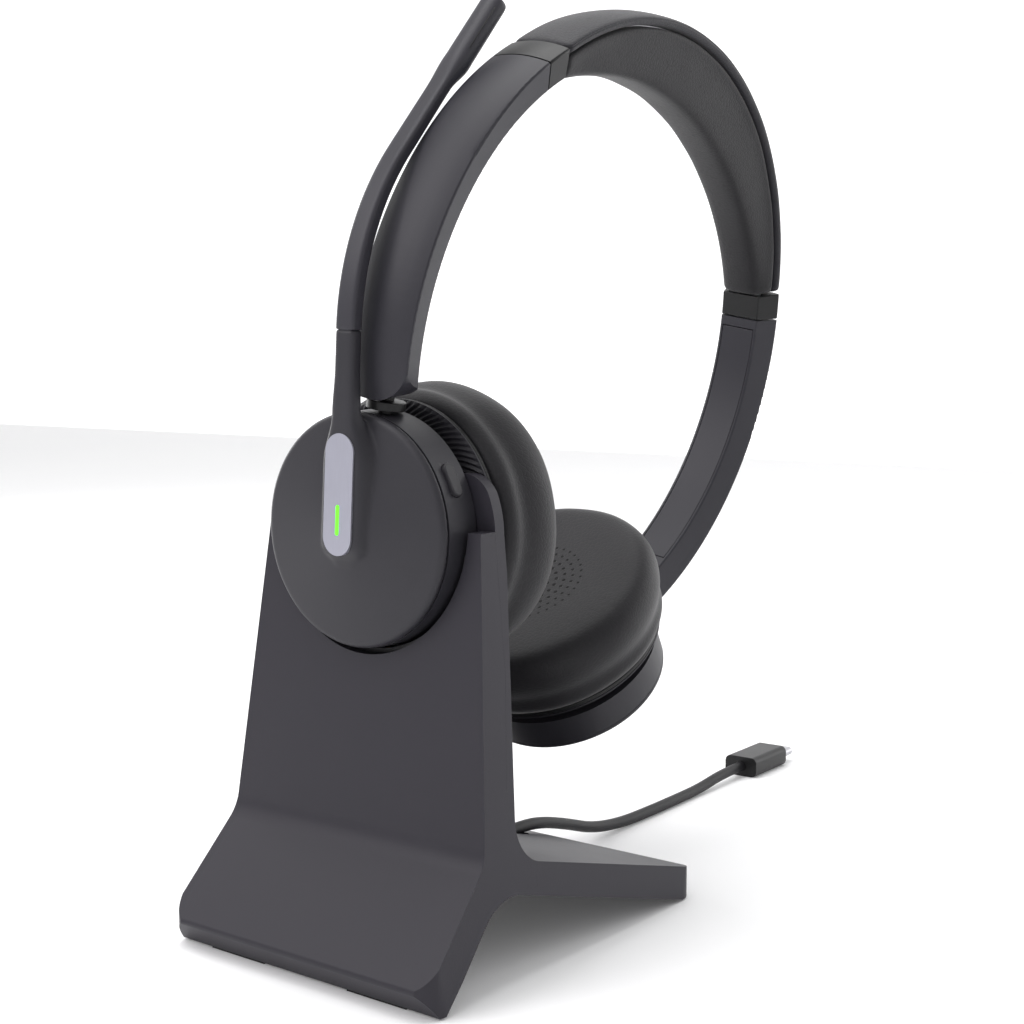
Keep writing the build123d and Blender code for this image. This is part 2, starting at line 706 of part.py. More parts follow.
with BuildPart() as screws:
    with BuildSketch(stand_front.offset(-plate_back + 1.2)):
        with Locations(*screw_places):
            Circle(2.2)
    extrude(amount=-1.0)
    with BuildSketch(stand_front.offset(-plate_back + 1.2)):
        with Locations(*screw_places):
            Circle(1.0)
    extrude(amount=6)
save(screws.part, "back_screws")

with BuildPart() as charge_board:
    with BuildSketch(stand_side):
        with Locations((board_y, (board_low + board_top) / 2)):
            Rectangle(1.2, board_top - board_low)
    extrude(amount=12.5, both=True)
save(charge_board.part, "charge_board")

with BuildPart() as pins:
    for angle in contact_angles:
        with BuildSketch(below_cup(angle, pin_reach)):
            Circle(pin_size)
        extrude(amount=6)
save(pins.part, "charge_pins")

with BuildPart() as liner:
    with BuildSketch(stand_front.offset(-plate_front)):
        with Locations((0, cup_height)):
            Circle(pocket_radius)
            Circle(pin_reach, mode=Mode.SUBTRACT)
        with Locations((0, cup_height + reach_out / 2 - 4)):
            Rectangle(reach_out, reach_out, mode=Mode.SUBTRACT)
    extrude(amount=4.2)
    for angle in contact_angles:
        with BuildSketch(below_cup(angle, pin_reach - 1)):
            Circle(pin_size + shaft_gap)
        extrude(amount=4, mode=Mode.SUBTRACT)
save(liner.part, "cradle_liner")

# The lead leaves through a trough in the rear foot's top
trough = (50.0, 70.0)
trough_floor = 7.6
relief_height = 11.0
relief_reach = 6.0
relief_plane = Plane((lead_x, disc_y + trough[0], relief_height), x_dir=(1, 0, 0), z_dir=(0, 1, 0))
relief_root = lead_radius + 1.1

with BuildPart() as rear_foot:
    add(whole_stand.part)
    add(block(stand_side, rear_region, reach_out, both=True), mode=Mode.INTERSECT)
    add(cut_leg("rear"), mode=Mode.SUBTRACT)
    with BuildSketch(stand_plan.offset(trough_floor)):
        with Locations((lead_x, (trough[0] + trough[1]) / 2)):
            RectangleRounded(slot_width, trough[1] - trough[0], 2.4)
    extrude(amount=20, mode=Mode.SUBTRACT)
    with BuildSketch(relief_plane.offset(-5)):
        Circle(relief_root)
    extrude(amount=7, mode=Mode.SUBTRACT)
    with BuildSketch(stand_plan):
        for place, size in pads["rear"]:
            with Locations(place):
                Rectangle(*size)
    extrude(amount=pad_height, mode=Mode.SUBTRACT)
save(rear_foot.part, "rear_foot")

for leg, (plane, size) in leg_planes.items():
    with BuildPart() as weight:
        with BuildSketch(plane.offset(-weight_thick - sole_thick)):
            RectangleRounded(*size, 2)
        extrude(amount=weight_thick)
    save(weight.part, f"{leg}_weight")
    with BuildPart() as sole:
        with BuildSketch(plane.offset(-sole_thick)):
            RectangleRounded(*size, 2)
        extrude(amount=sole_thick)
    save(sole.part, f"{leg}_sole")

with BuildPart() as foot_pads:
    with BuildSketch(stand_plan):
        for place, size in pads["front"] + pads["rear"]:
            with Locations(place):
                Rectangle(*size)
    extrude(amount=pad_height)
save(foot_pads.part, "foot_pads")

with BuildPart() as relief:
    with BuildSketch(relief_plane.offset(-5)):
        Circle(relief_root)
    extrude(amount=5)
    with BuildSketch(relief_plane):
        Circle(relief_root)
    with BuildSketch(relief_plane.offset(relief_reach)):
        Circle(lead_radius + 0.4)
    loft()
save(relief.part, "strain_relief")

# ---------------------------------------------------------------- lead
# Chosen points: right of the stand's centre plane, behind the front disc, height
lead_points = [
    (-7.8, 56, 11.0), (-7.8, 66, 11.0), (-7.9, 76, 10.4), (-8.0, 88, 7.2), (-7.9, 100, 3.2), (-7.6, 113, 1.6),
    (-7.8, 128, 1.5), (-8.3, 143, 1.5), (-8.9, 157, 1.6), (-9.3, 170, 3.0), (-9.6, 182, 3.0),
]
lead_route = [Vector(x, disc_y + y, z) for x, y, z in lead_points]


def bend_radii(route):
    """The largest arc that each corner's shorter run allows."""
    radii = []
    for before, corner, after in zip(route, route[1:], route[2:]):
        turn = (corner - before).get_angle(after - corner)
        run = min((corner - before).length, (after - corner).length)
        radii.append(0.45 * run / tan(radians(turn / 2)))
    return radii


lead_radii = bend_radii(lead_route)
print("lead radii", [round(radius, 1) for radius in lead_radii])
with BuildPart() as lead:
    with BuildLine() as lead_line:
        lead_path = FilletPolyline(*lead_route, radius=lead_radii)
    with BuildSketch(Plane(lead_path @ 0, z_dir=lead_path % 0)):
        Circle(lead_radius)
    sweep(path=lead_path)
save(lead.part, "lead")
print("lead length", round(lead_path.length, 2), "volume ratio",
      round(lead.part.volume / (pi * lead_radius**2 * lead_path.length), 4))

plug_plane = Plane(lead_path @ 1, x_dir=(1, 0, 0), z_dir=lead_path % 1)
with BuildPart() as plug:
    with BuildSketch(plug_plane):
        RectangleRounded(plug_size[0], plug_size[2], 1.8)
    extrude(amount=plug_size[1])
save(plug.part, "plug_body")
with BuildPart() as plug_tip:
    with BuildSketch(plug_plane.offset(plug_size[1])):
        SlotOverall(tip_size[0], tip_size[2])
        SlotOverall(tip_size[0] - 0.7, tip_size[2] - 0.7, mode=Mode.SUBTRACT)
    extrude(amount=tip_size[1])
save(plug_tip.part, "plug_tip")
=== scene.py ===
"""The looks of an office headset docked on its charging stand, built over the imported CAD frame.

Metres, in the CAD's own frame. Sizes written here are in millimetres and are multiplied by mm.
"""

import json
from math import atan2, cos, pi, radians, sin, sqrt, tau

import bmesh
import bpy
from mathutils import Matrix, Vector, noise


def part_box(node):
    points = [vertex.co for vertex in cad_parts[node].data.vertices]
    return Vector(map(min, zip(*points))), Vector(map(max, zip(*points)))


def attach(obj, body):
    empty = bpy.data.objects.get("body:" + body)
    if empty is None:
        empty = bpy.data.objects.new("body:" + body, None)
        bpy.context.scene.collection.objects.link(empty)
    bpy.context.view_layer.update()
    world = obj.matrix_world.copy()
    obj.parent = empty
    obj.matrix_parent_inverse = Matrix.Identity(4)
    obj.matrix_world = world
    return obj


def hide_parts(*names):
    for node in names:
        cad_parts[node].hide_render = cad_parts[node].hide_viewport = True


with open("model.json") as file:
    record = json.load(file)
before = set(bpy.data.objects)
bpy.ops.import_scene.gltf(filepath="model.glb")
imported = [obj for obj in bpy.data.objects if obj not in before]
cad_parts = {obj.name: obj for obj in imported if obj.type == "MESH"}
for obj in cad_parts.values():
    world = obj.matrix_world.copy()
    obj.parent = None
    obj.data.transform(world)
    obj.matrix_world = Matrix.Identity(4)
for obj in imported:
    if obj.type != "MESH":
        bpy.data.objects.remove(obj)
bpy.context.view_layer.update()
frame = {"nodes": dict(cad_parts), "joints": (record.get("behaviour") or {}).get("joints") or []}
nodes = frame["nodes"]
joints = {joint["name"]: joint for joint in frame["joints"]}
mm = 0.001

# ---------------------------------------------------------------- places, from the frame
dock = Vector(joints["boom_turn"]["pos_m"])               # centre of the docked cup's outer disc
arc_centre = Vector(joints["left_slide"]["pos_m"])        # centre of the headband's circle
arc_normal = Vector(joints["left_slide"]["axis"]).normalized()
left_up = Vector(joints["left_swivel"]["axis"]).normalized()
right_up = Vector(joints["right_swivel"]["axis"]).normalized()


def middle(node):
    """The centre of a CAD node's box."""
    low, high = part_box(node)
    return (low + high) / 2


def frame_at(origin, across, upright, inward):
    """A matrix with the given origin and axes."""
    turn = Matrix((across, upright, inward)).transposed().to_4x4()
    return Matrix.Translation(origin) @ turn


left_in = Vector((0, 1, 0))
left_cup = frame_at(dock, left_up.cross(left_in), left_up, left_in)
right_in = (middle("right_scrim") - middle("right_magnet")).normalized()
scrim_depth = (left_cup.inverted() @ middle("left_scrim")).z
right_origin = middle("right_scrim") - right_in * scrim_depth
right_cup = frame_at(right_origin, right_up.cross(right_in), right_up, right_in)
cups = {"left": left_cup, "right": right_cup}


def cup_reach(node, cup):
    """How far a node reaches from a cup's axis, and its lowest and highest depth, in millimetres."""
    place = cup.inverted()
    points = [place @ vertex.co for vertex in nodes[node].data.vertices]
    radii = [Vector((point.x, point.y)).length for point in points]
    depths = [point.z for point in points]
    return max(radii) / mm, min(depths) / mm, max(depths) / mm


# ---------------------------------------------------------------- mesh helpers
def piece_from(name, made, place=None, smooth=True):
    """An object from a bmesh, in a local frame if one is given."""
    bmesh.ops.recalc_face_normals(made, faces=made.faces)
    mesh = bpy.data.meshes.new(name)
    made.to_mesh(mesh)
    made.free()
    for face in mesh.polygons:
        face.use_smooth = smooth
    piece = bpy.data.objects.new(name, mesh)
    bpy.context.scene.collection.objects.link(piece)
    if place is not None:
        piece.matrix_world = place
    return piece


def loft(name, rings, place=None, caps=True, smooth=True):
    """A skin over rings that have the same number of points."""
    made = bmesh.new()
    rows = [[made.verts.new(point) for point in ring] for ring in rings]
    count = len(rows[0])
    for lower, upper in zip(rows, rows[1:]):
        for i in range(count):
            j = (i + 1) % count
            made.faces.new((lower[i], lower[j], upper[j], upper[i]))
    if caps:
        made.faces.new(rows[0])
        made.faces.new(rows[-1])
    return piece_from(name, made, place, smooth)


def lathe(name, place, outline, steps=144, wobble=None):
    """A closed form turned about the local depth axis from (radius, depth) points in millimetres.

    wobble(angle, index, radius, depth) may return small changes to the radius and depth.
    """
    made = bmesh.new()
    rows = []
    for step in range(steps):
        angle = tau * step / steps
        row = []
        for index, (radius, depth) in enumerate(outline):
            extra = wobble(angle, index, radius, depth) if wobble else (0, 0)
            reach = (radius + extra[0]) * mm
            row.append(made.verts.new((reach * cos(angle), reach * sin(angle), (depth + extra[1]) * mm)))
        rows.append(row)
    for step in range(steps):
        here, after = rows[step], rows[(step + 1) % steps]
        for i in range(len(outline) - 1):
            made.faces.new((here[i], after[i], after[i + 1], here[i + 1]))
    bmesh.ops.remove_doubles(made, verts=made.verts, dist=1e-6)
    return piece_from(name, made, place)


def add_modifier(piece, kind, name, **settings):
    made = piece.modifiers.new(name, kind)
    for key, value in settings.items():
        setattr(made, key, value)
    return made


def apply_modifiers(piece):
    """Turns a piece's modifiers into mesh."""
    graph = bpy.context.evaluated_depsgraph_get()
    done = bpy.data.meshes.new_from_object(piece.evaluated_get(graph))
    piece.modifiers.clear()
    piece.data = done
    for face in done.polygons:
        face.use_smooth = True


def soften(names, width, segments=2, angle=32):
    """Rounds the sharp edges of CAD nodes, as a mould does."""
    for name in names.split():
        piece = nodes[name]
        for face in piece.data.polygons:
            face.use_smooth = True
        add_modifier(piece, "WELD", "weld", merge_threshold=0.002 * mm)
        add_modifier(piece, "DECIMATE", "planes", decimate_type="DISSOLVE", angle_limit=radians(0.4))
        add_modifier(piece, "BEVEL", "edges", width=width * mm, segments=segments, limit_method="ANGLE",
                     angle_limit=radians(angle), miter_outer="MITER_ARC")
        add_modifier(piece, "WEIGHTED_NORMAL", "normals", weight=60)


def drift(point, size, seed):
    """Smooth noise from -1 to 1 at a place, with features of the given size in millimetres."""
    return noise.noise(Vector(point) / (size * mm) + Vector((seed, 2 * seed, 5 * seed)))


# ---------------------------------------------------------------- materials
def srgb(red, green, blue):
    """A linear colour from the 0 to 255 values that a screen shows."""
    linear = [((value / 255 + 0.055) / 1.055) ** 2.4 for value in (red, green, blue)]
    return (*linear, 1.0)


def shade(colour, share):
    return (*[min(1.0, value * share) for value in colour[:3]], 1.0)


class Look:
    """A procedural material that is being wired up."""

    def __init__(self, name):
        self.material = bpy.data.materials.new(name)
        self.material.use_nodes = True
        self.tree = self.material.node_tree
        self.shader = self.tree.nodes["Principled BSDF"]
        self.place = self.node("ShaderNodeTexCoord").outputs["Object"]

    def node(self, kind, inputs=None, **settings):
        made = self.tree.nodes.new(kind)
        for key, value in settings.items():
            setattr(made, key, value)
        for key, value in (inputs or {}).items():
            self.feed(made.inputs[key], value)
        return made

    def feed(self, socket, value):
        """Links another node's output, or sets a constant."""
        if isinstance(value, bpy.types.NodeSocket):
            self.tree.links.new(value, socket)
        else:
            socket.default_value = value

    def maths(self, operation, first, second=0.0):
        made = self.node("ShaderNodeMath", {0: first, 1: second}, operation=operation)
        return made.outputs[0]

    def grain(self, size, detail=3.0, roughness=0.6):
        """Noise with features of a size in millimetres."""
        made = self.node("ShaderNodeTexNoise", {"Vector": self.place, "Scale": 1 / (size * mm), "Detail": detail,
                                                "Roughness": roughness})
        return made.outputs["Fac"]

    def cells(self, size, feature="DISTANCE_TO_EDGE"):
        """Leather-like cells of a size in millimetres."""
        made = self.node("ShaderNodeTexVoronoi", {"Vector": self.place, "Scale": 1 / (size * mm)}, feature=feature)
        return made.outputs["Distance"]

    def between(self, value, low, high, from_low=0.0, from_high=1.0):
        made = self.node("ShaderNodeMapRange", {"Value": value, "From Min": from_low, "From Max": from_high,
                                                "To Min": low, "To Max": high})
        return made.outputs["Result"]

    def mix(self, share, first, second):
        made = self.node("ShaderNodeMix", data_type="RGBA")
        self.feed(made.inputs[0], share)
        self.feed(made.inputs[6], first)
        self.feed(made.inputs[7], second)
        return made.outputs[2]

    def bump(self, height, depth, strength=1.0, before=None):
        """A bump of a depth in millimetres."""
        made = self.node("ShaderNodeBump", {"Height": height, "Distance": depth * mm, "Strength": strength})
        if before is not None:
            self.feed(made.inputs["Normal"], before)
        return made.outputs["Normal"]

    def finish(self, **sockets):
        """Sets the shader's own sockets, with _ for a space in their names."""
        for key, value in sockets.items():
            self.feed(self.shader.inputs[key.replace("_", " ")], value)
        return self.material


def moulded(name, colour, roughness, spark=0.03, variation=0.05):
    """Finely spark-textured plastic: a fine grain, and polish that drifts a little."""
    look = Look(name)
    cloud = look.grain(28, 4)
    fine = look.grain(0.35, 2, 0.7)
    base = look.mix(cloud, shade(colour, 1 - variation), shade(colour, 1 + variation))
    speck = look.between(fine, 0.0, 0.10, 0.45, 0.75)
    base = look.mix(speck, base, shade(colour, 1.7))
    polish = look.maths("ADD", look.between(cloud, roughness - 0.04, roughness + 0.04),
                        look.between(fine, -0.04, 0.04))
    return look.finish(Base_Color=base, Roughness=polish, Normal=look.bump(fine, spark, 0.5),
                       Specular_IOR_Level=0.28)


def leatherette(name, colour, roughness, cell=1.1, depth=0.05, sheen=0.12):
    """Soft grained leatherette: small cells with creases between them, darkened with painted shade, worn smooth in
    places.
    """
    look = Look(name)
    cells = look.cells(cell)
    crease = look.between(cells, 0.0, 1.0, 0.0, 0.12)
    pores = look.grain(0.5, 3, 0.7)
    broad = look.grain(14, 4)
    base = look.mix(broad, shade(colour, 0.9), shade(colour, 1.12))
    # painted shade: the colour darkens along the creases between the cells
    base = look.mix(look.between(crease, 0.35, 0.0), base, shade(colour, 0.6))
    height = look.maths("ADD", crease, look.maths("MULTIPLY", pores, 0.5))
    polish = look.maths("ADD", look.between(broad, roughness - 0.05, roughness + 0.05),
                        look.between(crease, 0.08, 0.0))
    return look.finish(Base_Color=base, Roughness=polish, Normal=look.bump(height, depth, 0.6),
                       Sheen_Weight=sheen, Sheen_Roughness=0.5, Specular_IOR_Level=0.24)


def perforated(name, colour, roughness, pitch=2.15, hole=0.62, reach=13.9):
    """Leatherette with rings of small holes round the local depth axis, painted near black as the shade inside them.
    """
    look = Look(name)
    split = look.node("ShaderNodeSeparateXYZ", {"Vector": look.place})
    east, north = split.outputs["X"], split.outputs["Y"]
    radius = look.maths("SQRT", look.maths("ADD", look.maths("MULTIPLY", east, east),
                                           look.maths("MULTIPLY", north, north)))
    radius = look.maths("DIVIDE", radius, mm)
    ring = look.maths("MAXIMUM", look.maths("ROUND", look.maths("DIVIDE", radius, pitch)), 1.0)
    count = look.maths("MULTIPLY", ring, 6.0)
    turn = look.maths("ADD", look.maths("DIVIDE", look.maths("ARCTAN2", north, east), tau), 0.5)
    share = look.maths("FRACT", look.maths("MULTIPLY", turn, count))
    step = look.maths("DIVIDE", tau, count)
    side = look.maths("MULTIPLY", look.maths("MULTIPLY", look.maths("SUBTRACT", share, 0.5), step), radius)
    out = look.maths("SUBTRACT", radius, look.maths("MULTIPLY", ring, pitch))
    away = look.maths("SQRT", look.maths("ADD", look.maths("MULTIPLY", side, side),
                                         look.maths("MULTIPLY", out, out)))
    size = look.between(radius, hole, hole * 0.55, 0.0, reach)      # the holes shrink outwards
    inside = look.between(look.maths("DIVIDE", away, size), 1.0, 0.0, 0.8, 1.15)
    open_area = look.between(radius, 1.0, 0.0, reach - 0.05, reach + 0.05)
    holes = look.maths("MULTIPLY", inside, open_area)
    cells = look.between(look.cells(1.1), 0.0, 1.0, 0.0, 0.12)
    broad = look.grain(14, 4)
    base = look.mix(broad, shade(colour, 0.9), shade(colour, 1.12))
    # painted shade: each hole is coloured near black for the shade inside it
    base = look.mix(holes, base, (0.001, 0.001, 0.001, 1))
    height = look.maths("SUBTRACT", look.maths("MULTIPLY", cells, 0.12), holes)
    polish = look.maths("ADD", look.between(broad, roughness - 0.05, roughness + 0.05),
                        look.maths("MULTIPLY", holes, 0.3))
    return look.finish(Base_Color=base, Roughness=polish, Normal=look.bump(height, 0.3, 0.7),
                       Sheen_Weight=0.12, Sheen_Roughness=0.5, Specular_IOR_Level=0.24)


def brushed(name, colour, roughness, across=(1, 0, 0), metallic=1.0):
    """Fine brushed metal: scratches drawn out along one direction."""
    look = Look(name)
    stretch = [14.0 if part else 0.6 for part in across]
    drawn = look.node("ShaderNodeMapping", {"Vector": look.place, "Scale": stretch})
    lines = look.node("ShaderNodeTexNoise", {"Vector": drawn.outputs["Vector"], "Scale": 450.0, "Detail": 4.0})
    lines = lines.outputs["Fac"]
    base = look.mix(lines, shade(colour, 0.93), shade(colour, 1.05))
    polish = look.between(lines, roughness - 0.06, roughness + 0.06)
    return look.finish(Base_Color=base, Roughness=polish, Normal=look.bump(lines, 0.01, 0.3), Metallic=metallic)


def rubber(name, colour, roughness):
    """Soft rubber: a matt, slightly dusty skin."""
    look = Look(name)
    dust = look.grain(3.5, 5)
    fine = look.grain(0.3, 2)
    base = look.mix(look.between(dust, 0.0, 0.5, 0.4, 0.9), colour, shade(colour, 1.5))
    return look.finish(Base_Color=base, Roughness=look.between(dust, roughness - 0.06, roughness + 0.06),
                       Normal=look.bump(fine, 0.02, 0.4), Specular_IOR_Level=0.35)


def lit(name, colour, strength):
    """A light's lens, a little brighter in the middle of its grain."""
    look = Look(name)
    haze = look.between(look.grain(1.2, 2), strength * 0.92, strength * 1.08)
    return look.finish(Base_Color=colour, Emission_Color=colour, Emission_Strength=haze, Roughness=0.3)


def circuit(name):
    """A circuit board's solder mask with its copper areas showing through."""
    look = Look(name)
    copper = look.between(look.cells(2.4, "F1"), 0.0, 1.0, 0.3, 0.36)
    base = look.mix(copper, (0.01, 0.07, 0.03, 1), (0.02, 0.13, 0.05, 1))
    return look.finish(Base_Color=base, Roughness=look.between(copper, 0.3, 0.42),
                       Normal=look.bump(copper, 0.03, 0.5))


looks = {
    "stand": moulded("stand_moulding", srgb(43, 41, 48), 0.46),
    "arm": moulded("arm_moulding", srgb(46, 45, 51), 0.44),
    "cup": moulded("cup_moulding", srgb(45, 44, 49), 0.42),
    "boom": moulded("boom_moulding", srgb(52, 51, 57), 0.42),
    "black": moulded("black_moulding", srgb(24, 24, 25), 0.38),
    "mesh": moulded("mesh_moulding", srgb(36, 35, 40), 0.5),
    "band": leatherette("band_leatherette", srgb(38, 37, 42), 0.5, cell=0.9),
    "pad": leatherette("pad_leatherette", srgb(27, 26, 29), 0.55, cell=0.9),
    "cushion": leatherette("cushion_leatherette", srgb(32, 31, 34), 0.52),
    "face": perforated("cushion_face", srgb(32, 31, 34), 0.52),
    "button": rubber("button_rubber", srgb(40, 39, 43), 0.5),
    "foot": rubber("foot_rubber", srgb(20, 20, 21), 0.75),
    "lead": rubber("lead_sheath", srgb(24, 23, 26), 0.5),
    "plate": brushed("status_metal", srgb(160, 160, 172), 0.42, metallic=0.5),
    "steel": brushed("plain_steel", srgb(176, 176, 180), 0.32),
    "gold": brushed("gold_contact", srgb(232, 190, 110), 0.3),
    "light": lit("status_lens", srgb(95, 235, 30), 1.0),
    "board": circuit("circuit_board"),
    "wrap": moulded("battery_wrap", srgb(150, 152, 158), 0.5),
}


def dress(names, look):
    """Gives CAD nodes a material."""
    for name in names.split():
        slots = nodes[name].data.materials
        slots.clear()
        slots.append(looks[look])


dress("stand_body back_plate rear_foot", "stand")
dress("left_arm right_arm left_arm_skin right_arm_skin", "arm")
dress("boom_disc left_housing right_housing right_cover", "cup")
dress("boom_lower_arm boom_upper_arm mic_capsule", "boom")
dress("left_end_cap right_end_cap left_baffle right_baffle mic_grille plug_body", "black")
dress("left_mesh_ring right_mesh_ring left_speaker right_speaker", "mesh")
dress("band_cover band_pad", "band")
dress("left_cushion right_cushion left_scrim right_scrim", "cushion")
dress("call_button cradle_liner", "button")
dress("foot_pads front_sole rear_sole", "foot")
dress("lead strain_relief", "lead")
dress("status_plate", "plate")
dress("status_light", "light")
dress("band_spring left_slide_rail right_slide_rail left_swivel_pin right_swivel_pin back_screws", "steel")
dress("boom_axle boom_clip front_weight rear_weight left_magnet right_magnet plug_tip", "steel")
dress("charge_pins charge_contacts", "gold")
dress("charge_board main_board", "board")
dress("battery", "wrap")
dress("left_swivel_pin right_swivel_pin", "black")

soften("stand_body rear_foot back_plate", 0.55, 3)
soften("left_housing right_housing right_cover left_baffle right_baffle", 0.3)
soften("left_arm right_arm left_end_cap right_end_cap", 0.3)
soften("left_arm_skin right_arm_skin left_swivel_pin right_swivel_pin strain_relief", 0.2)
soften("plug_body plug_tip cradle_liner", 0.15)


def ready(piece, look, body):
    """Gives a new piece its material and body."""
    piece.data.materials.clear()
    piece.data.materials.append(looks[look])
    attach(piece, body)
    return piece


# ---------------------------------------------------------------- lead
# The route's own points: right of the stand's centre plane, behind the front disc, height
lead_points = [
    (-7.8, 56, 11.0), (-7.8, 66, 11.0), (-7.9, 76, 10.4), (-8.0, 88, 7.2), (-7.9, 100, 3.2), (-7.6, 113, 1.6),
    (-7.8, 128, 1.5), (-8.3, 143, 1.5), (-8.9, 157, 1.6), (-9.3, 170, 3.0), (-9.6, 182, 3.0),
]
lead_diameter = 3.0

lead_curve = bpy.data.curves.new("lead_sheath", "CURVE")
lead_curve.dimensions = "3D"
lead_spline = lead_curve.splines.new("NURBS")
lead_spline.points.add(len(lead_points) - 1)
for control, (x, y, z) in zip(lead_spline.points, lead_points):
    control.co = (x * mm, dock.y + y * mm, z * mm, 1)
lead_spline.order_u = 3
lead_spline.use_endpoint_u = True
lead_spline.resolution_u = 16
lead_curve.bevel_depth = lead_diameter / 2 * mm
lead_curve.bevel_resolution = 8
lead_curve.use_fill_caps = True
lead = bpy.data.objects.new("lead_sheath", lead_curve)
bpy.context.scene.collection.objects.link(lead)
lead_curve.materials.append(looks["lead"])
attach(lead, "stand")
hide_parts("lead")

# ---------------------------------------------------------------- boom and its disc
boom_up = (middle("status_light") - middle("boom_axle"))
boom_up = Vector((boom_up.x, 0, boom_up.z)).normalized()
boom_frame = frame_at(dock, left_in.cross(boom_up), boom_up, left_in)     # x across, y up the boom, z depth
boom_depth = -3.0
boom_knee = 42.0
boom_bend = 58.0
boom_turn = radians(40.0)
boom_reach = 26.0
capsule_length = 20.0
bend_length = boom_bend * boom_turn


def boom_line(run):
    """(height, depth, slope) of the boom's middle line at a length above the knee, in millimetres."""
    if run < 0:
        return boom_knee + run, boom_depth, 0.0
    if run < bend_length:
        turn = run / boom_bend
        return boom_knee + boom_bend * sin(turn), boom_depth + boom_bend * (1 - cos(turn)), turn
    past = run - bend_length
    height = boom_knee + boom_bend * sin(boom_turn) + past * cos(boom_turn)
    depth = boom_depth + boom_bend * (1 - cos(boom_turn)) + past * sin(boom_turn)
    return height, depth, boom_turn


def blend_between(value, table):
    """Smooth steps between (place, value) pairs."""
    for (start, first), (end, last) in zip(table, table[1:]):
        if value <= end:
            share = max(0.0, min(1.0, (value - start) / (end - start)))
            share = share * share * (3 - 2 * share)
            return first + (last - first) * share
    return table[-1][1]


def boom_ring(run, half, thick, squareness, shift=0.0, points=48):
    """A rounded section of the boom, square-cornered or round, in its own frame."""
    height, depth, slope = boom_line(run)
    ring = []
    for step in range(points):
        angle = tau * step / points
        power = 2 / squareness
        across = half * abs(cos(angle)) ** power * (1 if cos(angle) >= 0 else -1)
        out = thick / 2 * abs(sin(angle)) ** power * (1 if sin(angle) >= 0 else -1) + shift
        ring.append(Vector((across, height - out * sin(slope), depth + out * cos(slope))) * mm)
    return ring


capsule_start = bend_length + boom_reach
boom_end = capsule_start + capsule_length
half_table = [(0, 2.6), (bend_length, 2.6), (capsule_start - 8, 2.6), (capsule_start + 1, 3.2), (boom_end, 3.2)]
thick_table = [(0, 3.2), (bend_length, 3.0), (capsule_start - 7, 3.0), (capsule_start + 1, 5.0), (boom_end, 5.0)]
square_table = [(0, 5.0), (bend_length, 4.2), (capsule_start - 8, 3.6), (capsule_start + 3, 2.3), (boom_end, 2.2)]
shift_table = [(0, 0.0), (capsule_start - 7, 0.0), (capsule_start + 1, 0.5), (boom_end, 0.5)]
# A tenon reaches into the root's end, so that the joint shows as a fine dark line
upper_rings = [boom_ring(run, 2.1, 2.6, 5.0) for run in (-1.0, -0.04)]
steps = 110
for step in range(steps + 1):
    run = 0.08 + (boom_end - 0.08) * step / steps
    rounding = max(0.0, run - (boom_end - 1.3)) / 1.3
    shrink = sqrt(max(0.0, 1 - rounding**2)) * 0.35 + 0.65 if rounding > 0 else 1.0
    upper_rings.append(boom_ring(run, blend_between(run, half_table) * shrink,
                                 blend_between(run, thick_table) * shrink, blend_between(run, square_table),
                                 blend_between(run, shift_table)))
boom_upper = loft("boom_tube", upper_rings, boom_frame)
add_modifier(boom_upper, "BEVEL", "ends", width=0.12 * mm, segments=2, limit_method="ANGLE",
             angle_limit=radians(50))
ready(boom_upper, "boom", "boom")
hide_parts("boom_upper_arm", "mic_capsule")

# The disc and the boom's root are one moulding: both shapes are joined and their joint is rounded over
disc_radius, disc_front, disc_back = cup_reach("boom_disc", left_cup)
shell = lathe("boom_shell", left_cup, [
    (0, disc_front), (3, disc_front + 0.12), (8, disc_front * 0.72), (16, disc_front * 0.36),
    (disc_radius - 1.2, -0.05), (disc_radius - 0.5, 0.15), (disc_radius - 0.1, 0.7), (disc_radius, 1.1),
    (disc_radius, disc_back), (0, disc_back),
], steps=200)
plate_half, plate_low, plate_high = 3.9, -4.9, 20.7
root_rings = []
for step in range(61):
    height = -7.5 + (boom_knee - 0.1 + 7.5) * step / 60
    half = blend_between(height, [(-7.5, 3.2), (-3.5, 5.1), (14, 5.1), (25, 3.1), (34, 2.6), (boom_knee, 2.6)])
    front = blend_between(height, [(-7.5, -2.3), (-2, -4.45), (20, -4.6), (boom_knee, boom_depth - 1.6)])
    back = blend_between(height, [(-7.5, 0.2), (22, 0.2), (25.4, boom_depth + 1.6), (boom_knee, boom_depth + 1.6)])
    slope_side = blend_between(height, [(-7.5, 3.2), (16, 2.6), (25, 0.15), (boom_knee, 0.05)])
    ring = []
    for step_round in range(48):
        angle = tau * step_round / 48
        across = abs(cos(angle)) ** 0.4 * (1 if cos(angle) >= 0 else -1)
        out = abs(sin(angle)) ** 0.4 * (1 if sin(angle) >= 0 else -1)
        depth = (front + back) / 2 + (back - front) / 2 * out
        widen = slope_side * (1 + out) / 2
        ring.append(Vector(((half + widen) * across, height, depth)) * mm)
    root_rings.append(ring)
root = loft("boom_root", root_rings, boom_frame)
bpy.context.view_layer.update()


def joined(first, second, name):
    """Two closed forms in one object, in the row frame."""
    made = bmesh.new()
    for part in (first, second):
        copy = part.data.copy()
        copy.transform(part.matrix_world)
        made.from_mesh(copy)
        bpy.data.meshes.remove(copy)
        bpy.data.objects.remove(part)
    return piece_from(name, made)


shell = joined(shell, root, "boom_face")
add_modifier(shell, "REMESH", "skin", mode="VOXEL", voxel_size=0.26 * mm)
add_modifier(shell, "SMOOTH", "blend", factor=0.6, iterations=14)
apply_modifiers(shell)
ready(shell, "cup", "boom")
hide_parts("boom_disc", "boom_lower_arm")

